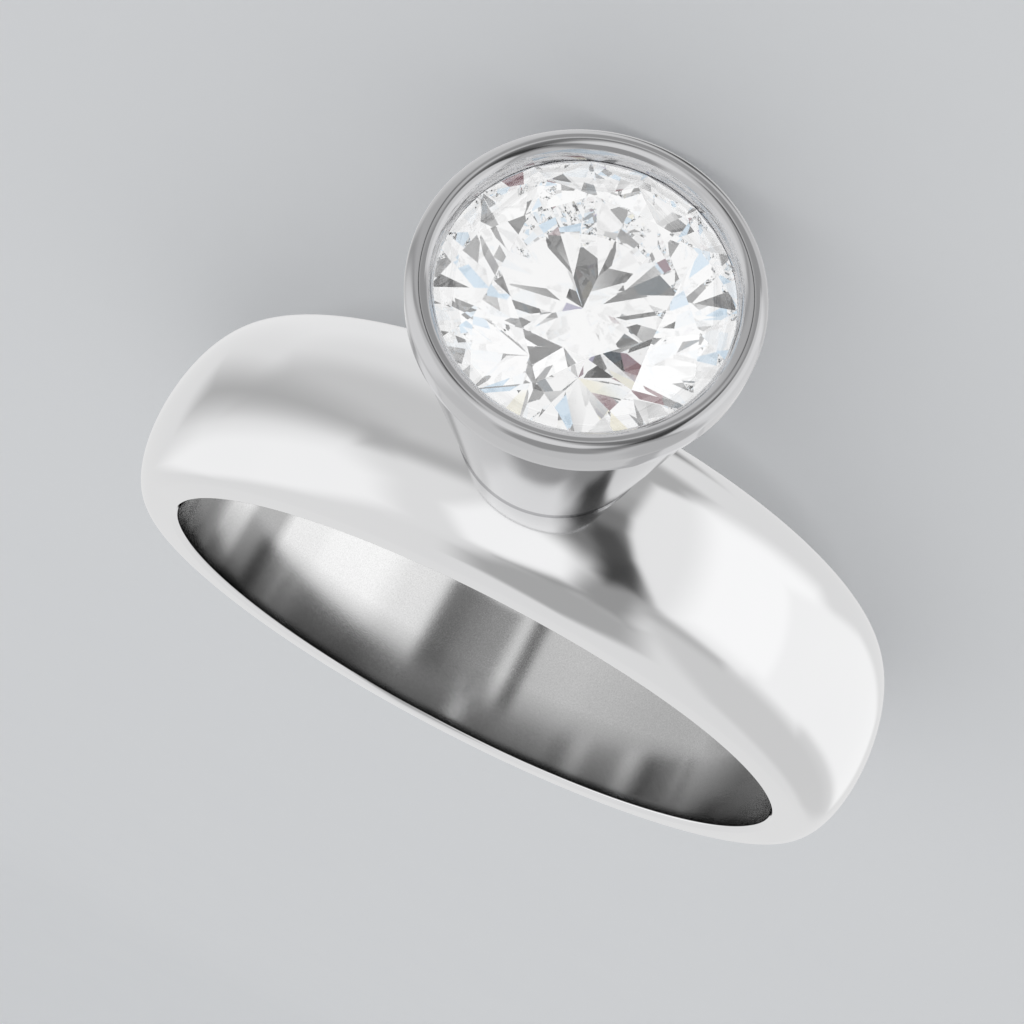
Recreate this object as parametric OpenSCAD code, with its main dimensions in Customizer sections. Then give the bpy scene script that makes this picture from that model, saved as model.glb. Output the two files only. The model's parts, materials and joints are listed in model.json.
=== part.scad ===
// Bezel set ring, lying on its side.
// The finger hole runs almost straight up. The head points to -Y, and the ring rests on the lower side
// of the bezel's rim and on the far lower edge of the band, so the finger hole leans by a few degrees.

/* [Band] */
// Inside diameter of the band, across the finger hole
bore_d = 17.3; // [14:0.1:22]
// Width of the band, along the finger
band_w = 4.8; // [3.8:0.1:7]
// Thickness of the band at its crest
band_t = 1.7; // [1.4:0.05:2.6]
// Height of the flat side of the band, before the dome begins
edge_h = 0.7; // [0.5:0.05:1]
// Chamfer that eases the edges of the finger hole
bore_ease = 0.12; // [0.05:0.01:0.25]

/* [Bezel cup] */
// Height of the rim above the crest of the band
head_h = 6.2; // [4.8:0.1:8]
// Distance of the head's axis from the middle of the band, towards the lower side
head_back = 1.2; // [0:0.1:1.4]
// Thickness of the rim round the stone, level with its girdle
rim_wall = 0.41; // [0.3:0.01:0.6]
// Height of the rim, from its top to the crease under it
rim_h = 0.72; // [0.5:0.02:1.1]
// Step from the rim in to the tapered cup
rim_step = 0.05; // [0.02:0.01:0.15]
// Diameter of the cup where it meets the crest of the band
foot_d = 4.15; // [3.4:0.05:4.6]
// Depth of the cup's flat foot below the crest of the band, where it is soldered in
foot_depth = 1.1; // [0.95:0.05:1.2]
// Diameter of the flat foot
foot_base_d = 2.4; // [2.2:0.1:3.2]
// Height of the bevel from the flat foot out to the tapered wall
foot_bevel = 0.65; // [0.3:0.05:0.8]
// Wall of the tapered cup
cup_wall = 0.52; // [0.4:0.02:0.8]
// Metal between the crest of the band and the floor of the cup
cup_floor = 0.6; // [0.4:0.05:1.2]
// Diameter of the light hole from the cup down to the finger
light_hole_d = 1.8; // [1:0.1:2.2]

/* [Setting of the stone] */
// Gap between the stone and the metal round it
stone_gap = 0.04; // [0.02:0.01:0.08]
// How far the rim's lip reaches over the edge of the stone
lip_over = 0.05; // [0.02:0.01:0.12]
// Depth of the lip's edge below the top of the rim
lip_drop = 0.4; // [0.3:0.05:0.7]
// Width of the ledge that the stone sits on
ledge_w = 0.34; // [0.2:0.02:0.5]

/* [Stone] */
// Diameter of the stone at its girdle
stone_d = 5.3; // [4.6:0.1:6]
// Width of the table, corner to corner, as a share of the diameter
table_share = 0.57; // [0.5:0.01:0.64]
// Angle of the crown's main facets to the girdle
crown_angle = 34.5; // [30:0.5:38]
// Angle of the pavilion's main facets to the girdle
pavilion_angle = 40.75; // [39:0.25:43]
// Thickness of the girdle at its corners, as a share of the diameter
girdle_share = 0.036; // [0.03:0.002:0.05]
// Reach of the star facets, as a share of the way from the table's edge to the girdle
star_share = 0.52; // [0.4:0.01:0.6]
// Reach of the lower halves, as a share of the way from the girdle to the culet
lower_share = 0.78; // [0.7:0.01:0.85]
// Turn of the stone about the head's axis
stone_turn = -22; // [-22.5:0.5:22.5]

/* [Hidden] */
$fn = 96;

// Band
bore_r = bore_d / 2;
half_w = band_w / 2;
dome_r = bore_r + edge_h;
crest_r = bore_r + band_t;
dome_steps = 28;

// Heights in the head are measured from the finger's axis
rim_top = crest_r + head_h;
rim_foot = rim_top - rim_h;
lip_z = rim_top - lip_drop;
floor_z = crest_r + cup_floor;
foot_z = crest_r - foot_depth;

// Radii in the head
stone_r = stone_d / 2;
pocket_r = stone_r + stone_gap;
rim_r = pocket_r + rim_wall;
lip_r = stone_r - lip_over;
rim_round = (rim_r - lip_r) / 2;
cup_top_r = rim_r - rim_step;
taper = (cup_top_r - foot_d / 2) / (rim_foot - crest_r);
rim_steps = 12;

// Stone, by the geometry of a round brilliant: eight mains, and half steps between them
mains = 8;
main_step = 360 / mains;
half_step = main_step / 2;
rim_corner = main_step / 4;
table_r = table_share * stone_r;
star_r = table_r * cos(half_step) + star_share * (stone_r - table_r * cos(half_step));
lower_r = (1 - lower_share) * stone_r;
girdle_h = girdle_share * stone_d;
star_rise = (stone_r - star_r * cos(half_step)) * tan(crown_angle);
crown_slope = star_rise / ((stone_r - star_r) * cos(rim_corner));
lower_fall = (stone_r - lower_r * cos(half_step)) * tan(pavilion_angle);
pavilion_slope = lower_fall / ((stone_r - lower_r) * cos(rim_corner));
scallop = stone_r * (1 - cos(rim_corner));
girdle_top = lip_z - lip_over * crown_slope - stone_gap;
girdle_foot = girdle_top - girdle_h;
table_z = girdle_top + (stone_r - table_r) * tan(crown_angle);

// Seat under the girdle, parallel to the pavilion
ledge_r = pocket_r - ledge_w;
function seat_z(r) = girdle_foot - (stone_r - r) * tan(pavilion_angle) - stone_gap;
function cup_r(z) = cup_top_r - taper * (rim_foot - z);
function arc(centre, r, from, to, steps) =
    [for (i = [0 : steps]) let (a = from + (to - from) * i / steps) centre + r * [cos(a), sin(a)]];

// Rest: the rim's lower corner and the band's far lower edge lie on the floor. The table of the stone
// or the rim is the nearest to -Y, and the box is centred between it and the far side of the band.
rest_tilt = atan((head_back + rim_r - half_w) / (rim_foot + dome_r));
rest_lift = dome_r * sin(rest_tilt) + half_w * cos(rest_tilt);
far_end = dome_r * cos(rest_tilt) + norm([band_t - edge_h, half_w * tan(rest_tilt)]) * cos(rest_tilt);
rim_end = (rim_top - rim_round) * cos(rest_tilt)
    + (head_back + rim_r - rim_round) * sin(rest_tilt) + rim_round;
table_low = table_r * max([for (k = [0 : mains - 1]) -sin(k * main_step + stone_turn)]);
table_end = table_z * cos(rest_tilt) + (head_back + table_low) * sin(rest_tilt);
rest_shift = (max(rim_end, table_end) - far_end) / 2;

module at_rest() {
    translate([0, rest_shift, rest_lift]) rotate([-rest_tilt, 0, 0]) children();
}

module on_head_axis() {
    translate([0, 0, -head_back]) rotate([90, 0, 0]) children();
}

// Section of the band: a plain bore, eased edges, flat sides and an elliptical dome
module band() {
    dome = [for (i = [0 : dome_steps]) let (a = -90 + 180 * i / dome_steps)
        [dome_r + (band_t - edge_h) * cos(a), half_w * sin(a)]];
    rotate_extrude() polygon(concat(
        [[bore_r, half_w - bore_ease], [bore_r, bore_ease - half_w], [bore_r + bore_ease, -half_w]],
        dome,
        [[bore_r + bore_ease, half_w]]
    ));
}

// Section of the head: tapered cup, crease, rounded rim, lip, pocket, ledge and hollow
module bezel_cup() {
    rotate_extrude() polygon(concat(
        [[0, foot_z],
         [foot_base_d / 2, foot_z],
         [cup_r(foot_z + foot_bevel), foot_z + foot_bevel],
         [cup_top_r, rim_foot],
         [rim_r, rim_foot]],
        arc([rim_r - rim_round, rim_top - rim_round], rim_round, 0, 180, rim_steps),
        [[lip_r, lip_z],
         [pocket_r, lip_z - (pocket_r - lip_r) * crown_slope],
         [pocket_r, seat_z(pocket_r)],
         [ledge_r, seat_z(ledge_r)],
         [cup_r(seat_z(ledge_r)) - cup_wall, seat_z(ledge_r)],
         [cup_r(floor_z) - cup_wall, floor_z],
         [0, floor_z]]
    ));
}

// Band and bezel are soldered, so they are one solid
module band_with_bezel() {
    color("gainsboro") at_rest() difference() {
        union() {
            band();
            on_head_axis() bezel_cup();
        }
        cylinder(h = 2 * band_w, r = bore_r, center = true);
        on_head_axis() cylinder(h = floor_z + cup_floor, d = light_hole_d);
    }
}

function ring_at(r, turn, z) = [r * cos(turn), r * sin(turn), z];

// Round brilliant: table, stars, mains, upper and lower halves, scalloped girdle, pointed culet
module stone() {
    corners = 4 * mains;
    table_pts = [for (k = [0 : mains - 1]) ring_at(table_r, k * main_step, table_z)];
    star_pts = [for (k = [0 : mains - 1]) ring_at(star_r, (k + 0.5) * main_step, girdle_top + star_rise)];
    upper_pts = [for (j = [0 : corners - 1]) ring_at(stone_r, j * rim_corner,
        girdle_top - (j % 2) * scallop * crown_slope)];
    lower_pts = [for (j = [0 : corners - 1]) ring_at(stone_r, j * rim_corner,
        girdle_foot + (j % 2) * scallop * pavilion_slope)];
    half_pts = [for (k = [0 : mains - 1]) ring_at(lower_r, (k + 0.5) * main_step, girdle_foot - lower_fall)];
    culet = [0, 0, girdle_foot - stone_r * tan(pavilion_angle)];

    function star(k) = mains + (k + mains) % mains;
    function upper(j) = 2 * mains + j % corners;
    function lower(j) = 2 * mains + corners + j % corners;
    function half(k) = 2 * mains + 2 * corners + (k + mains) % mains;
    tip = 3 * mains + 2 * corners;

    table_face = [[for (k = [mains - 1 : -1 : 0]) k]];
    star_faces = [for (k = [0 : mains - 1]) [k, (k + 1) % mains, star(k)]];
    main_faces = [for (k = [0 : mains - 1]) [k, star(k), upper(4 * k), star(k - 1)]];
    upper_faces = [for (k = [0 : mains - 1], s = [0, 2])
        [star(k), upper(4 * k + s + 2), upper(4 * k + s + 1), upper(4 * k + s)]];
    girdle_faces = [for (j = [0 : corners - 1]) [upper(j), upper(j + 1), lower(j + 1), lower(j)]];
    lower_faces = [for (k = [0 : mains - 1], s = [0, 2])
        [half(k), lower(4 * k + s), lower(4 * k + s + 1), lower(4 * k + s + 2)]];
    pavilion_faces = [for (k = [0 : mains - 1]) [tip, half(k - 1), lower(4 * k), half(k)]];

    color("aliceblue") at_rest() on_head_axis() rotate([0, 0, stone_turn]) polyhedron(
        concat(table_pts, star_pts, upper_pts, lower_pts, half_pts, [culet]),
        concat(table_face, star_faces, main_faces, upper_faces, girdle_faces, lower_faces, pavilion_faces)
    );
}

band_with_bezel();
stone();
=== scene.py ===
"""Looks of the bezel set ring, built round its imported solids.

The ring lies on its side on a pale floor. The band and the bezel are one soldered piece of polished
white gold, made by Geometry Nodes from two outlines that are turned about their axes. The stone is
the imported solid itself, with the finish of a colourless brilliant.
"""

from __future__ import annotations

import json
import logging
import math
from dataclasses import dataclass, field
from enum import Enum
from typing import Any

import bpy
from mathutils import Matrix, Vector


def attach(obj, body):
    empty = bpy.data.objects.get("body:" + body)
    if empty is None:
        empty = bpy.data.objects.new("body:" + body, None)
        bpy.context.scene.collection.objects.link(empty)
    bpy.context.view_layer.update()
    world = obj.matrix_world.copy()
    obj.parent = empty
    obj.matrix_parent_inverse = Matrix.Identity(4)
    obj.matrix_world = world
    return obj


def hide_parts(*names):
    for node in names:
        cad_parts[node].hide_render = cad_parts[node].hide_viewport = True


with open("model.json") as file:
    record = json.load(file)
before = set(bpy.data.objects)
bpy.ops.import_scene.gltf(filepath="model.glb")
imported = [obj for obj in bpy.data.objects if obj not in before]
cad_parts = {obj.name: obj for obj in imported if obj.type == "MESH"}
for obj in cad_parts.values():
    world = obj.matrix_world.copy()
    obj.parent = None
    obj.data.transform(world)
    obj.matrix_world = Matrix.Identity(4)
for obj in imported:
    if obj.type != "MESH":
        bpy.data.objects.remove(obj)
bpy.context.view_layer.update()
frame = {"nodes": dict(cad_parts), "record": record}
LOG = logging.getLogger("bezel_set_ring")
MM = 0.001
WHITE = (1.0, 1.0, 1.0)
MIDDLE = 0.5
Point = tuple[float, float]
Colour = tuple[float, float, float]
Shades = tuple[tuple[float, float], ...]


class Join(Enum):
    """How two closed shells are made into one."""

    SOLDER = "UNION"
    DRILL = "DIFFERENCE"


class Wire:
    """One socket of a node tree, with the arithmetic that adds Math nodes to the tree."""

    def __init__(self, sheet: Sheet, socket: bpy.types.NodeSocket) -> None:
        """Wraps a socket.

        Args:
            sheet: The tree that the socket is in.
            socket: The output socket.
        """
        self.sheet = sheet
        self.socket = socket

    def __add__(self, other: Value) -> Wire:
        """Sum."""
        return self.sheet.math("ADD", self, other)

    def __radd__(self, other: Value) -> Wire:
        """Sum, reflected."""
        return self.sheet.math("ADD", other, self)

    def __sub__(self, other: Value) -> Wire:
        """Difference."""
        return self.sheet.math("SUBTRACT", self, other)

    def __rsub__(self, other: Value) -> Wire:
        """Difference, reflected."""
        return self.sheet.math("SUBTRACT", other, self)

    def __mul__(self, other: Value) -> Wire:
        """Product."""
        return self.sheet.math("MULTIPLY", self, other)

    def __truediv__(self, other: Value) -> Wire:
        """Quotient."""
        return self.sheet.math("DIVIDE", self, other)

    def __neg__(self) -> Wire:
        """Negative."""
        return self.sheet.math("MULTIPLY", self, -1.0)


Value = Wire | float | int


class Sheet:
    """A node tree and the few ways in which nodes are added to it."""

    def __init__(self, tree: bpy.types.NodeTree) -> None:
        """Takes an empty or a new tree.

        Args:
            tree: A material's, a world's or a Geometry Nodes tree.
        """
        self.tree = tree

    def node(self, kind: str, settings: dict[str, Any] | None = None, **values: Any) -> bpy.types.Node:
        """Adds a node, sets it up and then fills or links its input sockets.

        Args:
            kind: The node's type name.
            settings: Properties of the node, set before its sockets are touched. A list under "ramp"
                gives a colour ramp's stops.
            **values: Socket names in lower case with underscores, or "input_N" for the Nth input.

        Returns:
            The node.
        """
        made = self.tree.nodes.new(kind)
        for name, value in (settings or {}).items():
            if name == "ramp":
                self.set_ramp(made.color_ramp, value)
            else:
                setattr(made, name, value)
        for name, value in values.items():
            self.feed(self.input_of(made, name), value)
        return made

    @staticmethod
    def set_ramp(ramp: bpy.types.ColorRamp, stops: list[tuple[float, tuple[float, ...]]]) -> None:
        """Gives a colour ramp its stops.

        Args:
            ramp: The ramp of a new Color Ramp node, which has two stops.
            stops: Place and colour of each stop, in order.
        """
        while len(ramp.elements) < len(stops):
            ramp.elements.new(1.0)
        for element, (place, colour) in zip(ramp.elements, stops):
            element.position = place
            element.color = colour

    @staticmethod
    def input_of(node: bpy.types.Node, name: str) -> bpy.types.NodeSocket:
        """Finds an enabled input socket by its plain name.

        Args:
            node: The node.
            name: The socket's name in lower case with underscores, or "input_N".

        Returns:
            The socket.
        """
        if name.startswith("input_"):
            return node.inputs[int(name.removeprefix("input_"))]
        for socket in node.inputs:
            if socket.enabled and socket.name.lower().replace(" ", "_") == name:
                return socket
        raise KeyError(f"{node.bl_idname} has no input {name}")

    def feed(self, socket: bpy.types.NodeSocket, value: Any) -> None:
        """Links a wire to a socket, or sets the socket's own value.

        Args:
            socket: The input socket.
            value: A Wire or a plain value.
        """
        if isinstance(value, Wire):
            self.tree.links.new(value.socket, socket)
        else:
            socket.default_value = value

    def out(self, node: bpy.types.Node, name: str | int = 0) -> Wire:
        """Wraps an output of a node.

        Args:
            node: The node.
            name: The output's name or index.

        Returns:
            The wrapped socket.
        """
        if isinstance(name, int):
            return Wire(self, node.outputs[name])
        return Wire(self, next(socket for socket in node.outputs if socket.enabled and socket.name == name))

    def math(self, operation: str, *values: Value) -> Wire:
        """Adds a Math node.

        Args:
            operation: The node's operation.
            *values: One to three numbers or wires.

        Returns:
            The result.
        """
        sockets = {f"input_{i}": value for i, value in enumerate(values)}
        return self.out(self.node("ShaderNodeMath", {"operation": operation}, **sockets))

    def vector(self, operation: str, *values: Any, result: str = "Vector", **scale: Any) -> Wire:
        """Adds a Vector Math node.

        Args:
            operation: The node's operation.
            *values: Vectors, as wires or as three numbers.
            result: The output that is wanted.
            **scale: The scale socket's value.

        Returns:
            The result.
        """
        sockets = {f"input_{i}": value for i, value in enumerate(values)}
        made = self.node("ShaderNodeVectorMath", {"operation": operation}, **sockets, **scale)
        return self.out(made, result)

    def blend(self, factor: Value, first: Any, second: Any) -> Wire:
        """Mixes two colours.

        Args:
            factor: Share of the second colour.
            first: A colour, as a wire or as three numbers.
            second: The other colour.

        Returns:
            The mixed colour.
        """
        a, b = (c if isinstance(c, Wire) else (*c, 1.0) for c in (first, second))
        made = self.node("ShaderNodeMix", {"data_type": "RGBA"}, factor=factor, a=a, b=b)
        return self.out(made, "Result")

    def combine(self, x: Value, y: Value, z: Value) -> Wire:
        """Joins three numbers into a vector."""
        return self.out(self.node("ShaderNodeCombineXYZ", x=x, y=y, z=z))

    def split(self, vector: Wire) -> tuple[Wire, Wire, Wire]:
        """Splits a vector into its three numbers."""
        parts = self.node("ShaderNodeSeparateXYZ", vector=vector)
        return self.out(parts, "X"), self.out(parts, "Y"), self.out(parts, "Z")

    def from_axis(self, place: Wire, axis: Vector) -> tuple[Wire, Wire]:
        """Measures a place against an axis through the origin.

        Args:
            place: The place.
            axis: The axis's direction, of length 1.

        Returns:
            The height along the axis and the distance from it, in the place's unit.
        """
        along = self.vector("DOT_PRODUCT", place, tuple(axis), result="Value")
        aside = self.vector("SUBTRACT", place, self.vector("SCALE", tuple(axis), scale=along))
        return along, self.vector("LENGTH", aside, result="Value")

    def soft_step(self, value: Wire, start: float, end: float) -> Wire:
        """Rises smoothly from 0 to 1 while a value goes from start to end."""
        settings = {"interpolation_type": "SMOOTHSTEP"}
        return self.out(self.node("ShaderNodeMapRange", settings, value=value, from_min=start, from_max=end))

    def noise(self, place: Wire, scale: float, detail: float = 2.0) -> Wire:
        """Adds a noise that varies around the middle of the range from 0 to 1."""
        return self.out(self.node("ShaderNodeTexNoise", vector=place, scale=scale, detail=detail), "Fac")

    def ramp(self, place: Wire, stops: Shades) -> Wire:
        """Adds greys that follow a place between 0 and 1.

        Args:
            place: The place.
            stops: Place and brightness of each grey.

        Returns:
            The grey.
        """
        greys = [(stop, (shade, shade, shade, 1.0)) for stop, shade in stops]
        return self.out(self.node("ShaderNodeValToRGB", {"ramp": greys}, fac=place))


def swayed(middle: float, noise: Wire, change: float) -> Wire:
    """A value that follows a noise, by half its change to either side of its middle."""
    return middle + (noise - MIDDLE) * change


def arc(centre: Point, radius: float, start: float, end: float, steps: int) -> list[Point]:
    """Points along an arc.

    Args:
        centre: The arc's centre.
        radius: The arc's radius.
        start: Angle of the first point, in degrees.
        end: Angle of the last point, in degrees.
        steps: Number of pieces that the arc is cut into.

    Returns:
        The points, both ends included.
    """
    angles = [math.radians(start + (end - start) * i / steps) for i in range(steps + 1)]
    return [(centre[0] + radius * math.cos(a), centre[1] + radius * math.sin(a)) for a in angles]


def rounded(points: list[Point], radii: list[float], steps: int) -> list[Point]:
    """Rounds the corners of an open outline.

    Args:
        points: The outline's corners.
        radii: Radius at each corner, 0 where it stays sharp, as at both ends.
        steps: Number of pieces of each rounding.

    Returns:
        The outline with arcs for corners.
    """
    made: list[Point] = []
    for i, (corner, radius) in enumerate(zip(points, radii)):
        if radius <= 0:
            made.append(corner)
            continue
        here = Vector(corner)
        before = (Vector(points[i - 1]) - here).normalized()
        after = (Vector(points[i + 1]) - here).normalized()
        half = before.angle(after) / 2
        reach = radius / math.tan(half)
        centre = here + (before + after).normalized() * (radius / math.sin(half))
        first = here + before * reach - centre
        last = here + after * reach - centre
        turn = first.angle_signed(last)
        for k in range(steps + 1):
            spoke = first.copy()
            spoke.rotate(Matrix.Rotation(-turn * k / steps, 2))
            made.append(tuple(centre + spoke))
    return made


def filled(points: list[Point], longest: float) -> list[Point]:
    """Adds points along the straight parts of an outline.

    Args:
        points: The outline.
        longest: Longest straight step, in the outline's unit.

    Returns:
        The outline with its straights cut into equal steps.
    """
    made: list[Point] = []
    for (x0, y0), (x1, y1) in zip(points, points[1:]):
        steps = max(1, math.ceil(math.hypot(x1 - x0, y1 - y0) / longest))
        made += [(x0 + (x1 - x0) * k / steps, y0 + (y1 - y0) * k / steps) for k in range(steps)]
    return [*made, points[-1]]


@dataclass(frozen=True)
class RestPose:
    """Where the finger hole stands in the row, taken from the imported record."""

    centre: Vector
    axis: Vector
    bore_r: float

    @classmethod
    def from_record(cls, record: dict[str, Any]) -> RestPose:
        """Reads the pose from the mount of the finger hole.

        Args:
            record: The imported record.

        Returns:
            The pose, with its radius in millimetres.
        """
        mount = next(m for m in record["mounts"] if m["name"] == "finger_bore")
        return cls(Vector(mount["pos_m"]), Vector(mount["axis"]).normalized(), mount["dims"]["r_mm"])

    @property
    def tilt(self) -> float:
        """Lean of the finger hole towards +Y."""
        return math.atan2(self.axis.y, self.axis.z)


@dataclass(frozen=True)
class Band:
    """Section of the band: a plain bore, eased edges, flat sides and an elliptical dome."""

    bore_r: float
    width: float = 4.8
    thickness: float = 1.7
    side_h: float = 0.7
    bore_ease: float = 0.12
    ease_round: float = 0.1
    ease_steps: int = 4
    bore_steps: int = 14
    dome_steps: int = 72
    steps_round: int = 360

    @property
    def crest_r(self) -> float:
        """Radius of the crest, from the finger's axis."""
        return self.bore_r + self.thickness

    def outline(self) -> list[Point]:
        """Section in radius and height along the finger, counter-clockwise and closed.

        Returns:
            The points in millimetres, with the first one repeated at the end.
        """
        half = self.width / 2
        dome_r = self.bore_r + self.side_h
        inner = self.bore_r + self.bore_ease
        corners = [
            (dome_r, half),
            (inner, half),
            (self.bore_r, half - self.bore_ease),
            (self.bore_r, self.bore_ease - half),
            (inner, -half),
            (dome_r, -half),
        ]
        radii = [0.0, *[self.ease_round] * (len(corners) - 2), 0.0]
        flat = filled(rounded(corners, radii, self.ease_steps), self.width / self.bore_steps)
        angles = [math.radians(-90 + 180 * i / self.dome_steps) for i in range(1, self.dome_steps + 1)]
        rise = self.thickness - self.side_h
        return flat + [(dome_r + rise * math.cos(a), half * math.sin(a)) for a in angles]


@dataclass(frozen=True)
class BezelCup:
    """Section of the head: tapered cup, crease, rounded rim, lip, pocket, ledge and hollow."""

    crest_r: float
    height: float = 6.2
    back: float = 1.2
    stone_r: float = 2.65
    stone_gap: float = 0.04
    rim_wall: float = 0.41
    rim_h: float = 0.72
    rim_step: float = 0.05
    foot_r: float = 2.075
    foot_depth: float = 1.1
    foot_base_r: float = 1.2
    foot_bevel: float = 0.65
    floor: float = 0.6
    lip_over: float = 0.05
    lip_drop: float = 0.4
    ledge_w: float = 0.34
    wall: float = 0.52
    girdle_h: float = 0.1908
    crown_slope: float = 0.882
    pavilion_slope: float = 0.8617
    light_hole_r: float = 0.9
    edge_round: float = 0.03
    bevel_round: float = 0.06
    crease_round: float = 0.01
    hollow_round: float = 0.3
    outer_steps: int = 4
    inner_steps: int = 5
    rim_steps: int = 36
    longest_step: float = 0.2
    steps_round: int = 256

    @property
    def top(self) -> float:
        """Height of the rim's top above the finger's axis."""
        return self.crest_r + self.height

    @property
    def rim_foot(self) -> float:
        """Height of the crease under the rim."""
        return self.top - self.rim_h

    @property
    def lip_z(self) -> float:
        """Height of the lip's edge over the stone."""
        return self.top - self.lip_drop

    @property
    def foot_z(self) -> float:
        """Height of the flat foot, which is soldered into the band."""
        return self.crest_r - self.foot_depth

    @property
    def pocket_r(self) -> float:
        """Radius of the pocket round the stone."""
        return self.stone_r + self.stone_gap

    @property
    def rim_r(self) -> float:
        """Outer radius of the rim."""
        return self.pocket_r + self.rim_wall

    @property
    def cup_top_r(self) -> float:
        """Outer radius of the taper at the crease."""
        return self.rim_r - self.rim_step

    def taper_r(self, height: Value) -> Value:
        """Outer radius of the taper at a height above the finger's axis."""
        slope = (self.cup_top_r - self.foot_r) / (self.rim_foot - self.crest_r)
        return self.cup_top_r - (self.rim_foot - height) * slope

    def seat_z(self, radius: float) -> float:
        """Height of the ledge under the stone at a radius."""
        girdle_top = self.lip_z - self.lip_over * self.crown_slope - self.stone_gap
        return girdle_top - self.girdle_h - (self.stone_r - radius) * self.pavilion_slope - self.stone_gap

    def outline(self) -> list[Point]:
        """Section in radius and height above the finger's axis, from foot to floor.

        Returns:
            The points in millimetres, both ends on the head's axis.
        """
        rim_r, pocket_r = self.rim_r, self.pocket_r
        lip_r = self.stone_r - self.lip_over
        ledge_r = pocket_r - self.ledge_w
        ledge_z = self.seat_z(ledge_r)
        floor_z = self.crest_r + self.floor
        bevel_z = self.foot_z + self.foot_bevel
        rim_round = (rim_r - lip_r) / 2
        rim_z = self.top - rim_round
        edge = self.edge_round
        outside = [
            (0.0, self.foot_z),
            (self.foot_base_r, self.foot_z),
            (self.taper_r(bevel_z), bevel_z),
            (self.cup_top_r, self.rim_foot),
            (rim_r, self.rim_foot),
            (rim_r, rim_z),
        ]
        outside_radii = [0.0, edge, self.bevel_round, self.crease_round, edge, 0.0]
        rim = arc((rim_r - rim_round, rim_z), rim_round, 0, 180, self.rim_steps)
        setting = [
            rim[-1],
            (lip_r, self.lip_z),
            (pocket_r, self.lip_z - (pocket_r - lip_r) * self.crown_slope),
            (pocket_r, self.seat_z(pocket_r)),
            (ledge_r, ledge_z),
            (self.taper_r(ledge_z) - self.wall, ledge_z),
            (self.taper_r(floor_z) - self.wall, floor_z),
            (0.0, floor_z),
        ]
        setting_radii = [0.0, edge, 0.0, 0.0, edge, 0.0, self.hollow_round, 0.0]
        outer = filled(rounded(outside, outside_radii, self.outer_steps), self.longest_step)
        inner = filled(rounded(setting, setting_radii, self.inner_steps), self.longest_step)
        return [*outer, *rim[1:], *inner[1:]]


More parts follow.
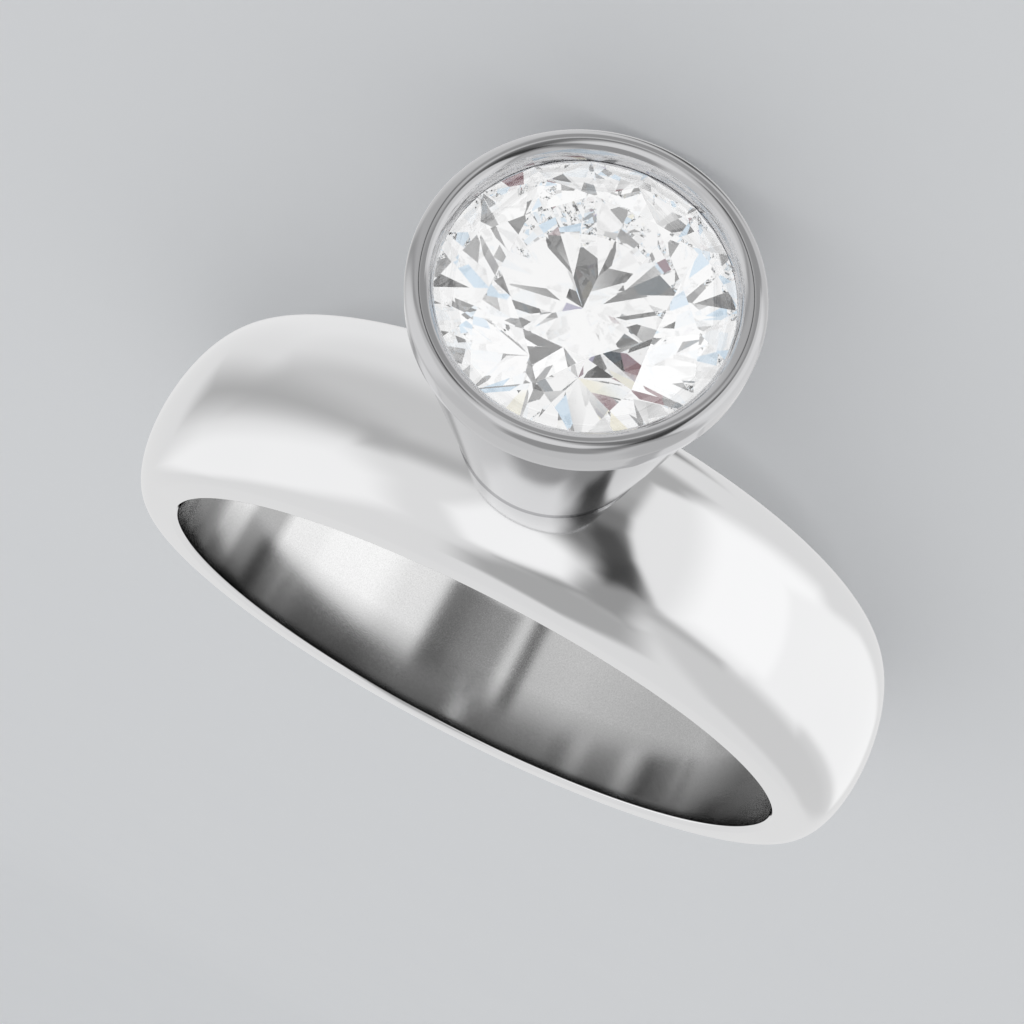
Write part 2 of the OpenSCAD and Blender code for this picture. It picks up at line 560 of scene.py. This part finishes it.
class SolderTree:
    """Geometry Nodes tree that turns the two outlines, solders them and lays the ring at rest.

    MERGE_MM joins a turned outline's first and last columns and its points on the axis. SEAM_MM takes
    away the very short edges that the joining and the drilling leave, so the piece stays one closed
    shell in any file format.
    """

    MERGE_MM = 1e-4
    SEAM_MM = 2e-3
    HOLE_STEPS = 96

    def __init__(self) -> None:
        """Makes the empty tree with its named inputs."""
        self.tree = bpy.data.node_groups.new("solder_ring", "GeometryNodeTree")
        self.sheet = Sheet(self.tree)
        panel = self.tree.interface
        panel.new_socket("Geometry", in_out="INPUT", socket_type="NodeSocketGeometry")
        for name, kind in (
            ("Band Outline", "Object"),
            ("Cup Outline", "Object"),
            ("Steps Round Finger", "Int"),
            ("Steps Round Cup", "Int"),
            ("Cup Back", "Float"),
            ("Light Hole Radius", "Float"),
            ("Light Hole Reach", "Float"),
            ("Crease Angle", "Float"),
            ("Rest Tilt", "Float"),
            ("Rest Place", "Vector"),
            ("Finish", "Material"),
        ):
            panel.new_socket(name, in_out="INPUT", socket_type=f"NodeSocket{kind}")
        panel.new_socket("Geometry", in_out="OUTPUT", socket_type="NodeSocketGeometry")
        self.given = self.sheet.node("NodeGroupInput")
        self.build()

    def input(self, name: str) -> Wire:
        """One of the tree's named inputs."""
        return self.sheet.out(self.given, name)

    def build(self) -> None:
        """Adds all the nodes, from the outlines to the finished piece."""
        s = self.sheet
        band = self.turned(self.input("Band Outline"), self.input("Steps Round Finger"))
        cup = self.turned(self.input("Cup Outline"), self.input("Steps Round Cup"))
        joined = self.boolean(Join.SOLDER, band, self.on_cup_axis(cup))
        hole = s.out(
            s.node(
                "GeometryNodeMeshCylinder",
                vertices=self.HOLE_STEPS,
                radius=self.input("Light Hole Radius"),
                depth=self.input("Light Hole Reach"),
            ),
            "Mesh",
        )
        raised = s.combine(0, 0, self.input("Light Hole Reach") / 2)
        drill = s.out(s.node("GeometryNodeTransform", geometry=hole, translation=raised))
        drilled = self.boolean(Join.DRILL, joined, self.on_cup_axis(drill))
        clean = s.out(s.node("GeometryNodeMergeByDistance", geometry=drilled, distance=self.SEAM_MM))
        smooth = s.node("GeometryNodeSetShadeSmooth", {"domain": "FACE"}, geometry=clean, shade_smooth=True)
        angle = s.out(s.node("GeometryNodeInputMeshEdgeAngle"), "Unsigned Angle")
        sharp = s.math("GREATER_THAN", angle, self.input("Crease Angle"))
        creased = s.node(
            "GeometryNodeSetShadeSmooth",
            {"domain": "EDGE"},
            geometry=s.out(smooth),
            selection=sharp,
            shade_smooth=False,
        )
        laid = s.node(
            "GeometryNodeTransform",
            geometry=s.out(creased),
            translation=self.input("Rest Place"),
            rotation=s.combine(-self.input("Rest Tilt"), 0, 0),
            scale=(MM, MM, MM),
        )
        real = s.node("GeometryNodeRealizeInstances", geometry=s.out(laid))
        dressed = s.node("GeometryNodeSetMaterial", geometry=s.out(real), material=self.input("Finish"))
        s.node("NodeGroupOutput", geometry=s.out(dressed))

    def turned(self, outline: Wire, steps: Wire) -> Wire:
        """Turns an outline about Z into a closed shell.

        Args:
            outline: The outline's object, with radius in X and height in Z.
            steps: Number of steps of a whole turn.

        Returns:
            The shell, whose faces point out if the outline runs counter-clockwise.
        """
        s = self.sheet
        points = s.out(s.node("GeometryNodeObjectInfo", object=outline), "Geometry")
        count = s.out(s.node("GeometryNodeAttributeDomainSize", geometry=points), "Point Count")
        grid = s.out(s.node("GeometryNodeMeshGrid", vertices_x=steps + 1, vertices_y=count), "Mesh")
        index = s.out(s.node("GeometryNodeInputIndex"))
        column = s.math("FLOOR", (index + MIDDLE) / count)
        row = index - column * count
        place = s.out(s.node("GeometryNodeInputPosition"))
        settings = {"data_type": "FLOAT_VECTOR"}
        sampler = s.node("GeometryNodeSampleIndex", settings, geometry=points, value=place, index=row)
        radius, _, height = s.split(s.out(sampler))
        turn = s.math("MODULO", column, steps) / steps * math.tau
        spot = s.combine(radius * s.math("COSINE", turn), radius * s.math("SINE", turn), height)
        shell = s.node("GeometryNodeSetPosition", geometry=grid, position=spot)
        return s.out(s.node("GeometryNodeMergeByDistance", geometry=s.out(shell), distance=self.MERGE_MM))

    def on_cup_axis(self, geometry: Wire) -> Wire:
        """Moves what stands on Z to the head's axis, which points to -Y.

        Args:
            geometry: The shell that stands on Z.

        Returns:
            The shell on the head's axis.
        """
        s = self.sheet
        back = s.combine(0, 0, -self.input("Cup Back"))
        turn = (math.pi / 2, 0, 0)
        return s.out(s.node("GeometryNodeTransform", geometry=geometry, translation=back, rotation=turn))

    def boolean(self, join: Join, first: Wire, second: Wire) -> Wire:
        """Joins or cuts two closed shells.

        Args:
            join: Whether the second shell is soldered to the first or drilled out of it.
            first: The first shell.
            second: The second shell.

        Returns:
            The closed result.
        """
        s = self.sheet
        settings = {"operation": join.value, "solver": "MANIFOLD"}
        if join is Join.DRILL:
            return s.out(s.node("GeometryNodeMeshBoolean", settings, mesh_1=first, mesh_2=second))
        made = s.node("GeometryNodeMeshBoolean", settings)
        for shell in (second, first):
            s.tree.links.new(shell.socket, made.inputs["Mesh 2"])
        return s.out(made)

    def run(self, name: str, values: dict[str, Any]) -> bpy.types.Object:
        """Evaluates the tree and keeps its result as a plain mesh.

        Args:
            name: Name of the finished piece.
            values: The tree's inputs by name.

        Returns:
            The piece, at the origin, with its place in its mesh.
        """
        carrier = linked(f"{name}_carrier", bpy.data.meshes.new(f"{name}_carrier"))
        modifier = carrier.modifiers.new("solder", "NODES")
        modifier.node_group = self.tree
        for item in self.tree.interface.items_tree:
            if item.in_out == "INPUT" and item.name in values:
                modifier[item.identifier] = values[item.name]
        graph = bpy.context.evaluated_depsgraph_get()
        mesh = bpy.data.meshes.new_from_object(carrier.evaluated_get(graph), depsgraph=graph)
        mesh.name = name
        finish = next(made for made in mesh.materials if made)
        mesh.materials.clear()
        mesh.materials.append(finish)
        mesh.polygons.foreach_set("material_index", [0] * len(mesh.polygons))
        bpy.data.objects.remove(carrier)
        return linked(name, mesh)


def linked(name: str, data: bpy.types.ID) -> bpy.types.Object:
    """Makes an object and links it to the scene.

    Args:
        name: Name of the object.
        data: Its mesh or camera.

    Returns:
        The object.
    """
    made = bpy.data.objects.new(name, data)
    bpy.context.scene.collection.objects.link(made)
    return made


def outline_object(name: str, points: list[Point]) -> bpy.types.Object:
    """Makes a mesh of an outline's points, which is only an input and is removed later.

    Args:
        name: Name of the object.
        points: Radius and height of each point.

    Returns:
        The object.
    """
    mesh = bpy.data.meshes.new(name)
    mesh.from_pydata([(r, 0.0, z) for r, z in points], [], [])
    return linked(name, mesh)


def new_material(name: str) -> tuple[bpy.types.Material, Sheet]:
    """Makes a material with an empty tree.

    Args:
        name: The material's name.

    Returns:
        The material and the sheet of its tree.
    """
    made = bpy.data.materials.new(name)
    made.use_nodes = True
    made.node_tree.nodes.clear()
    return made, Sheet(made.node_tree)


@dataclass(frozen=True)
class WhiteGold:
    """Finish of the metal: high polish with rhodium plate, and a satin, grainy finger hole, with painted
    shade in the finger hole and on the head.
    """

    colour: Colour = (0.9, 0.9, 0.905)
    haze: Colour = (0.86, 0.862, 0.87)
    gloss: float = 0.075
    gloss_change: float = 0.03
    satin: float = 0.13
    satin_change: float = 0.1
    haze_scale: float = 260.0
    haze_detail: float = 3.0
    grain_scale: float = 24000.0
    grain_height: float = 0.0000004
    grain_shade: float = 0.4
    bore_margin_mm: float = 0.004
    # Painted shade in the finger hole, darker towards its upper edge.
    bore_shades: Shades = ((0.5, 0.86), (0.68, 0.6), (0.92, 0.36), (0.97, 0.04))
    # Painted shade across the ring: darker near both ends of the finger hole and in a narrow band.
    side_shades: Shades = (
        (0.03, 0.4),
        (0.1, 1.0),
        (0.915, 1.0),
        (0.93, 0.55),
        (0.96, 0.55),
        (0.97, 1.0),
        (0.985, 1.0),
        (0.995, 0.4),
    )
    # Painted shade on the taper.
    cup_colour: Colour = (0.58, 0.58, 0.59)
    # Painted shade on the rim, a soft grey.
    rim_colour: Colour = (0.62, 0.62, 0.63)
    # Painted shadow: a thin dark line at the lip round the stone, and its width.
    lip_colour: Colour = (0.12, 0.12, 0.13)
    lip_line_mm: float = 0.05
    # Painted shade on the half of the finger hole under the head, and how far it reaches.
    solder_side: float = 0.45
    solder_reach: float = 0.75

    def material(self, pose: RestPose, band: Band, cup: BezelCup) -> bpy.types.Material:
        """Builds the material.

        Args:
            pose: Where the finger hole stands.
            band: The band, whose finger hole gets painted shade, darker towards its upper edge.
            cup: The bezel cup, whose taper gets a darker painted shade than its rim.

        Returns:
            The material.
        """
        made, s = new_material("polished_white_gold")
        place = s.out(s.node("ShaderNodeTexCoord"), "Object")
        from_centre = s.vector("SUBTRACT", place, tuple(pose.centre))
        along, radius = s.from_axis(from_centre, pose.axis)
        in_bore = s.math("LESS_THAN", radius / MM, pose.bore_r + self.bore_margin_mm)
        grain = s.noise(place, self.grain_scale)
        height = along / (band.width * MM) + MIDDLE
        # The finger hole's colour gets painted shade.
        bore = self.bore_shade(s, from_centre, height, pose)
        bore = s.vector("SCALE", bore, scale=swayed(1.0, grain, self.grain_shade))
        haze = s.noise(place, self.haze_scale, self.haze_detail)
        # The head's colour gets painted shade.
        plate = self.head_shade(s, s.blend(haze, self.colour, self.haze), from_centre, pose, cup)
        polish = swayed(self.gloss, haze, self.gloss_change)
        satin = swayed(self.satin, grain, self.satin_change)
        pits = s.node("ShaderNodeBump", height=grain * in_bore, distance=self.grain_height)
        shader = s.node(
            "ShaderNodeBsdfPrincipled",
            base_color=s.blend(in_bore, plate, bore),
            metallic=1.0,
            roughness=polish + (satin - polish) * in_bore,
            normal=s.out(pits),
        )
        s.node("ShaderNodeOutputMaterial", surface=s.out(shader))
        return made

    def bore_shade(self, s: Sheet, from_centre: Wire, height: Wire, pose: RestPose) -> Wire:
        """Paints shade into the finger hole: along the finger, across the ring and under the head.

        Args:
            s: The material's tree.
            from_centre: The place, from the middle of the finger hole.
            height: Share of the band's width, from its lower side to its upper.
            pose: Where the finger hole stands.

        Returns:
            The colour of the finger hole's wall with its painted shade, without its grain.
        """
        across, towards_head, _ = s.split(from_centre)
        # Painted shade across the ring: the wall is darker near both ends and in a narrow band, by its place
        # across.
        side = across / (2 * pose.bore_r * MM) + MIDDLE
        # Painted shade along the finger: the wall grows darker towards its upper edge.
        bore = s.vector("MULTIPLY", s.ramp(height, self.bore_shades), s.ramp(side, self.side_shades))
        # Painted shade: the half of the finger hole under the head is darker.
        under_head = s.soft_step(towards_head, 0.0, -pose.bore_r * self.solder_reach * MM)
        return s.blend(under_head, bore, s.vector("SCALE", bore, scale=self.solder_side))

    def head_shade(self, s: Sheet, plate: Wire, from_centre: Wire, pose: RestPose, cup: BezelCup) -> Wire:
        """Paints shade into the head: a darker taper, a soft grey rim and a dark shadow line at the stone.

        Args:
            s: The material's tree.
            plate: Colour of the plate elsewhere.
            from_centre: The place, from the middle of the finger hole.
            pose: Where the finger hole stands.
            cup: The bezel cup.

        Returns:
            The colour of the plate with the head's painted shade in it.
        """
        head = Vector((0.0, -pose.axis.z, pose.axis.y))
        from_foot = s.vector("ADD", from_centre, tuple(pose.axis * (cup.back * MM)))
        height, radius = (length / MM for length in s.from_axis(from_foot, head))
        on_rim = s.math("GREATER_THAN", height, cup.rim_foot)
        above_foot = s.math("GREATER_THAN", height, cup.foot_z)
        wall = s.math("ABSOLUTE", cup.taper_r(height) - radius)
        on_taper = above_foot * (1 - on_rim) * s.math("LESS_THAN", wall, cup.edge_round)
        inside = s.math("LESS_THAN", radius, cup.stone_r)
        on_lip_shadow = on_rim * inside * s.math("LESS_THAN", height, cup.lip_z + self.lip_line_mm)
        # Painted shade: the taper is darker than the rest of the plate.
        shade = s.blend(on_taper, plate, self.cup_colour)
        # Painted shade: the rim is a soft grey.
        shade = s.blend(on_rim, shade, self.rim_colour)
        # Painted shadow: a thin dark line at the lip round the stone.
        return s.blend(on_lip_shadow, shade, self.lip_colour)


@dataclass(frozen=True)
class Diamond:
    """Finish of the stone: colourless, with a high index that throws light back from its facets."""

    index: float = 2.417

    def material(self) -> bpy.types.Material:
        """Builds the material.

        Returns:
            The material.
        """
        made, s = new_material("colourless_diamond")
        shader = s.node(
            "ShaderNodeBsdfPrincipled",
            base_color=(*WHITE, 1.0),
            roughness=0.0,
            ior=self.index,
            transmission_weight=1.0,
        )
        s.node("ShaderNodeOutputMaterial", surface=s.out(shader))
        return made


@dataclass(frozen=True)
class Paper:
    """Finish of the floor: matt pale paper with a faint mottle."""

    light: Colour = (0.8, 0.815, 0.83)
    shade: Colour = (0.785, 0.8, 0.82)
    mottle_scale: float = 60.0
    roughness: float = 0.9
    specular: float = 0.1

    def material(self) -> bpy.types.Material:
        """Builds the material.

        Returns:
            The material.
        """
        made, s = new_material("pale_paper")
        place = s.out(s.node("ShaderNodeTexCoord"), "Object")
        shader = s.node(
            "ShaderNodeBsdfPrincipled",
            base_color=s.blend(s.noise(place, self.mottle_scale), self.light, self.shade),
            roughness=self.roughness,
            specular_ior_level=self.specular,
        )
        s.node("ShaderNodeOutputMaterial", surface=s.out(shader))
        return made


@dataclass
class RingMetal:
    """The band and the bezel, one soldered piece."""

    pose: RestPose
    band: Band
    cup: BezelCup
    finish: WhiteGold = field(default_factory=WhiteGold)
    crease_angle: float = math.radians(28)

    def build(self) -> bpy.types.Object:
        """Builds the piece through Geometry Nodes.

        Returns:
            The piece, at rest on the floor.
        """
        outlines = [
            outline_object("band_outline", self.band.outline()),
            outline_object("cup_outline", self.cup.outline()),
        ]
        piece = SolderTree().run(
            "soldered_ring",
            {
                "Band Outline": outlines[0],
                "Cup Outline": outlines[1],
                "Steps Round Finger": self.band.steps_round,
                "Steps Round Cup": self.cup.steps_round,
                "Cup Back": self.cup.back,
                "Light Hole Radius": self.cup.light_hole_r,
                "Light Hole Reach": self.band.crest_r + 2 * self.cup.floor,
                "Crease Angle": self.crease_angle,
                "Rest Tilt": self.pose.tilt,
                "Rest Place": self.pose.centre,
                "Finish": self.finish.material(self.pose, self.band, self.cup),
            },
        )
        for outline in outlines:
            bpy.data.objects.remove(outline)
        return piece

    def dress(self, piece: bpy.types.Object) -> None:
        """Lets the piece ride on the ring in place of its plain solid.

        Light that leaves the stone passes the piece by, as if the cup were lined with bright foil, so
        the facets stay as light as in the photograph.

        Args:
            piece: The piece.
        """
        piece.visible_transmission = False
        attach(piece, "root")
        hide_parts("band_with_bezel")
        LOG.info("%s: %d faces", piece.name, len(piece.data.polygons))


@dataclass
class Stone:
    """The round brilliant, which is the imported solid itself."""

    node: str = "stone"
    finish: Diamond = field(default_factory=Diamond)

    def dress(self) -> None:
        """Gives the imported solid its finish."""
        stone = frame["nodes"][self.node]
        stone.data.materials.clear()
        stone.data.materials.append(self.finish.material())
        LOG.info("%s: %d faces", stone.name, len(stone.data.polygons))


def sky_direction(azimuth: float, elevation: float) -> Vector:
    """Direction of a place on the studio's sky.

    Args:
        azimuth: Degrees from -Y towards +X.
        elevation: Degrees above the floor.

    Returns:
        The direction, of length 1.
    """
    a, e = math.radians(azimuth), math.radians(elevation)
    return Vector((math.sin(a) * math.cos(e), -math.cos(a) * math.cos(e), math.sin(e)))


@dataclass(frozen=True)
class Panel:
    """A soft panel of the studio: a convex patch of its sky between straight edges.

    Each corner is an azimuth and an elevation in degrees, as sky_direction takes them. The name is
    the label of the panel's node.
    """

    name: str
    light: float
    corners: tuple[Point, ...]
    soft_deg: float = 3.0
    tint: Colour = WHITE

    def cover(self, s: Sheet, way: Wire) -> Wire:
        """How much of the panel lies in a direction.

        Args:
            s: The world's tree.
            way: The direction, of length 1.

        Returns:
            1 inside the panel, 0 outside it and between them along its soft edges.
        """
        spots = [sky_direction(*corner) for corner in self.corners]
        middle = sum(spots, Vector((0, 0, 0)))
        soft = math.sin(math.radians(self.soft_deg))
        depth: Value = 1.0
        for here, there in zip(spots, spots[1:] + spots[:1]):
            inward = here.cross(there).normalized()
            inward *= math.copysign(1.0, inward.dot(middle))
            past_edge = s.vector("DOT_PRODUCT", way, tuple(inward), result="Value")
            depth = s.math("MINIMUM", past_edge, depth)
        return s.soft_step(depth, -soft, soft)


@dataclass(frozen=True)
class Sky:
    """All that one kind of ray sees of the studio: a plain base and the panels in front of it."""

    base: float
    panels: tuple[Panel, ...]

    def colour(self, s: Sheet, way: Wire) -> Wire | Colour:
        """Colour of the light from a direction.

        Args:
            s: The world's tree.
            way: The direction, of length 1.

        Returns:
            The colour, with its brightness in it.
        """
        colour: Wire | Colour = (self.base,) * 3
        for panel in self.panels:
            light = tuple(panel.light * part for part in panel.tint)
            colour = s.blend(panel.cover(s, way), colour, light)
            colour.socket.node.label = panel.name
        return colour


ICE = (0.74, 0.88, 1.0)
METAL_SKY = Sky(
    0.78,
    (
        Panel("low_light", 0.87, ((100, -34), (150, -24), (150, -70), (20, -70), (20, -50)), 12),
        Panel("right_low", 0.61, ((16, -3), (95, -9), (90, -26), (16, -26)), 7),
        Panel("right_inner", 0.8, ((18, 3), (18, 44), (50, 50), (60, 2)), 5),
        Panel(
            "right_box",
            0.97,
            ((56, 3), (42, 16), (42, 42), (70, 46), (100, 44), (128, 36), (132, 6), (108, 0)),
            8,
        ),
        Panel("horizon_near", 0.47, ((12, 2), (12, -6), (50, -8), (50, 1)), 4),
        Panel("horizon_far", 0.46, ((44, -1), (44, -8), (118, -20), (118, -9)), 7),
        Panel("front_grey", 0.44, ((-30, -20), (20, -20), (34, -46), (-50, -50)), 5),
        Panel("front_dark", 0.28, ((-14, -2), (6, -2), (6, -14), (-14, -14)), 3),
        Panel("thin_strip", 0.12, ((11, -4), (17, -4), (17, -24), (11, -24)), 1.5),
        Panel(
            "left_high",
            0.66,
            ((-46, 42), (-38, 16), (-95, 6), (-150, -6), (-150, 34), (-95, 44)),
            6,
        ),
        Panel("middle_box", 1.0, ((-20, 31), (-13, 6), (10, 6), (22, 20), (16, 40), (0, 42)), 4),
        Panel(
            "high_grey",
            0.42,
            ((-46, 34), (-16, 35), (4, 44), (20, 56), (40, 76), (-80, 80), (-64, 54)),
            7,
        ),
        Panel("high_line", 0.36, ((-36, 26), (-16, 35), (4, 44), (4, 48), (-16, 41), (-36, 34)), 3),
        Panel(
            "stripe_haze",
            0.2,
            ((-40, 14), (-22, 12), (-8, 7.5), (-4, 0), (-12, -20), (-30, -24)),
            7,
        ),
        Panel(
            "stripe_high",
            0.33,
            ((-38, 10), (-24, 10), (-21, 20), (-20, 30), (-28, 38), (-42, 36)),
            5,
        ),
        Panel(
            "dark_core",
            0.08,
            ((-36, 12), (-32, 12), (-22, 5), (-15, -2), (-15, -8), (-22, -9), (-29, -2)),
            3,
        ),
        Panel("dark_cone", 0.06, ((-33, 12), (-27, 17), (-23, 14), (-22, 5), (-30, 2)), 4),
        Panel("left_line", 0.48, ((-40, 20), (-40, 13), (-68, 11), (-68, 15)), 4),
        Panel(
            "left_edge",
            0.87,
            ((-42, 12), (-36, 5.5), (-29.5, -2), (-25, -11), (-24, -18), (-28, -39), (-75, -42), (-75, 10)),
            2,
        ),
        Panel("left_box", 1.06, ((-48, 10), (-46, -42), (-100, -40), (-100, 4)), 7),
        Panel("left_wing", 0.98, ((-81, 6), (-79, -40), (-126, -34), (-150, -28), (-150, -8)), 2.5),
        Panel("nadir", 0.1, ((0, -74), (90, -74), (180, -74), (-90, -74)), 8),
    ),
)
GEM_SKY = Sky(
    1.0,
    (
        Panel("observer", 0.12, ((-18, 12), (6, 12), (6, 34), (-18, 34)), 1.5),
        Panel("high_card", 0.3, ((-20, 44), (16, 44), (20, 62), (-26, 62)), 1.5),
        Panel("low_card", 0.3, ((-14, -22), (12, -22), (16, -50), (-18, -50)), 1.5),
        Panel("left_card", 0.26, ((-64, -14), (-40, -12), (-40, 10), (-64, 12)), 1.5),
        Panel("right_card", 0.22, ((38, -10), (60, -12), (60, 14), (38, 12)), 1.5),
        Panel("blue_card", 0.92, ((-50, 24), (-28, 28), (-26, 46), (-60, 46)), 2, (0.7, 0.86, 1.0)),
        Panel("mauve_card", 0.3, ((28, 28), (44, 26), (50, 38), (30, 40)), 1, (1.0, 0.6, 0.66)),
        Panel(
            "violet_card",
            0.5,
            ((-46, -40), (-28, -42), (-26, -28), (-40, -26)),
            1,
            (0.76, 0.72, 1.0),
        ),
        Panel("cool_card", 0.92, ((26, -42), (50, -40), (44, -22), (24, -26)), 2, (0.72, 0.88, 1.0)),
        Panel("straw_card", 0.92, ((64, 20), (80, 20), (80, 40), (62, 40)), 1, (1.0, 0.96, 0.8)),
        Panel("left_far_card", 0.3, ((-100, 4), (-80, 4), (-80, 34), (-100, 34)), 1.5),
        Panel("left_far_blue", 0.9, ((-110, -30), (-80, -30), (-80, -4), (-110, -4)), 2, ICE),
        Panel("right_far_card", 0.26, ((90, -34), (112, -34), (112, -8), (90, -8)), 1.5),
        Panel("right_far_blue", 0.9, ((96, 10), (124, 10), (124, 40), (96, 40)), 2, ICE),
        Panel("back_card", 0.3, ((168, 6), (196, 6), (196, 40), (168, 40)), 1.5),
        Panel("back_low_card", 0.2, ((140, -50), (170, -50), (170, -20), (140, -20)), 1.5),
        Panel("back_blue", 0.9, ((-160, -30), (-130, -30), (-130, 10), (-160, 10)), 2, ICE),
        Panel("back_high_blue", 0.9, ((-150, 40), (-110, 40), (-110, 66), (-150, 66)), 2, ICE),
        Panel("pin_right", 0.04, ((20, 16), (26, 16), (26, 24), (20, 24)), 0.8),
        Panel("pin_left", 0.04, ((-34, -2), (-28, -2), (-28, 6), (-34, 6)), 0.8),
    ),
)


@dataclass(frozen=True)
class Studio:
    """Soft studio light round the ring, and the pale floor under it."""

    metal_sky: Sky = METAL_SKY
    gem_sky: Sky = GEM_SKY
    backdrop: Colour = (0.62, 0.63, 0.65)
    dome: Colour = (0.8, 0.8, 0.8)
    paper: Paper = field(default_factory=Paper)
    floor_r: float = 0.45
    cove_r: float = 0.35
    cove_steps: int = 12
    steps_round: int = 96

    def light(self) -> None:
        """Builds the world's light.

        Polished metal mirrors one sky and the stone gathers another, as when a jeweller's stone is
        lit through its own cards. The camera sees a plain backdrop.
        """
        world = bpy.data.worlds.new("studio")
        world.use_nodes = True
        world.node_tree.nodes.clear()
        bpy.context.scene.world = world
        s = Sheet(world.node_tree)
        way = s.vector("NORMALIZE", s.out(s.node("ShaderNodeTexCoord"), "Generated"))
        rays = s.node("ShaderNodeLightPath")
        shown = s.node("ShaderNodeBackground", color=(*self.backdrop, 1.0))
        mirrored = s.node("ShaderNodeBackground", color=self.metal_sky.colour(s, way))
        gathered = s.node("ShaderNodeBackground", color=self.gem_sky.colour(s, way))
        dome = s.node("ShaderNodeBackground", color=(*self.dome, 1.0))
        light = mirrored
        for ray, seen in (
            ("Is Transmission Ray", gathered),
            ("Is Diffuse Ray", dome),
            ("Is Camera Ray", shown),
        ):
            light = s.node(
                "ShaderNodeMixShader",
                input_0=s.out(rays, ray),
                input_1=s.out(light),
                input_2=s.out(seen),
            )
        s.node("ShaderNodeOutputWorld", surface=s.out(light))
        world.cycles.sampling_method = "NONE"

    def floor(self) -> None:
        """Lays the floor, a round sheet of paper whose edge sweeps up, and leaves it out of mirrors."""
        sweep = [math.radians(90 * k / self.cove_steps) for k in range(self.cove_steps + 1)]
        rings = [
            (self.floor_r + self.cove_r * math.sin(a), self.cove_r * (1 - math.cos(a))) for a in sweep
        ]
        verts = [(0.0, 0.0, 0.0)]
        faces = []
        for k, (radius, height) in enumerate(rings):
            for i in range(self.steps_round):
                a = math.tau * i / self.steps_round
                verts.append((radius * math.cos(a), radius * math.sin(a), height))
                here, there = 1 + i, 1 + (i + 1) % self.steps_round
                if k == 0:
                    faces.append((0, here, there))
                    continue
                low, high = (k - 1) * self.steps_round, k * self.steps_round
                faces.append((low + here, high + here, high + there, low + there))
        mesh = bpy.data.meshes.new("floor")
        mesh.from_pydata(verts, [], faces)
        mesh.polygons.foreach_set("use_smooth", [True] * len(faces))
        mesh.materials.append(self.paper.material())
        floor = linked("floor", mesh)
        floor.visible_glossy = False
        floor.visible_transmission = False


@dataclass(frozen=True)
class RingCamera:
    """Camera at the photograph's angle to the ring."""

    azimuth: float = -5.6135
    elevation: float = 22.2183
    roll: float = -151.7729
    distance_mm: float = 40.1853
    aim_mm: tuple[float, float, float] = (0.85533, 2.40589, 1.0499)
    focal_px: float = 1481.31
    frame_px: float = 1024.0
    sensor_mm: float = 36.0
    nearest: float = 0.001
    farthest: float = 10.0

    def place(self) -> None:
        """Makes the scene's camera."""
        data = bpy.data.cameras.new("camera")
        data.sensor_width = self.sensor_mm
        data.lens = self.focal_px / self.frame_px * self.sensor_mm
        data.clip_start = self.nearest
        data.clip_end = self.farthest
        made = linked("camera", data)
        back = sky_direction(self.azimuth, self.elevation)
        level = sky_direction(self.azimuth + 90, 0.0)
        rise = back.cross(level)
        roll = math.radians(self.roll)
        right = level * math.cos(roll) + rise * math.sin(roll)
        turn = Matrix((right, back.cross(right), back)).transposed().to_4x4()
        place = (Vector(self.aim_mm) + back * self.distance_mm) * MM
        made.matrix_world = Matrix.Translation(place) @ turn
        bpy.context.scene.camera = made


@dataclass(frozen=True)
class Tracing:
    """How far light is followed through the polished metal and the stone."""

    bounces: int = 64

    def set_up(self) -> None:
        """Sets the scene's bounces and its plain view of brightness."""
        scene = bpy.context.scene
        scene.view_settings.view_transform = "Standard"
        scene.cycles.max_bounces = self.bounces
        scene.cycles.glossy_bounces = self.bounces
        scene.cycles.transmission_bounces = self.bounces


def main() -> None:
    """Builds the ring, dresses it and lights it, in order."""
    Tracing().set_up()
    RingCamera().place()
    studio = Studio()
    studio.light()
    studio.floor()
    pose = RestPose.from_record(frame["record"])
    band = Band(pose.bore_r)
    ring = RingMetal(pose, band, BezelCup(band.crest_r))
    ring.dress(ring.build())
    Stone().dress()


if __name__ == "__main__":
    logging.basicConfig(level=logging.INFO)
    main()
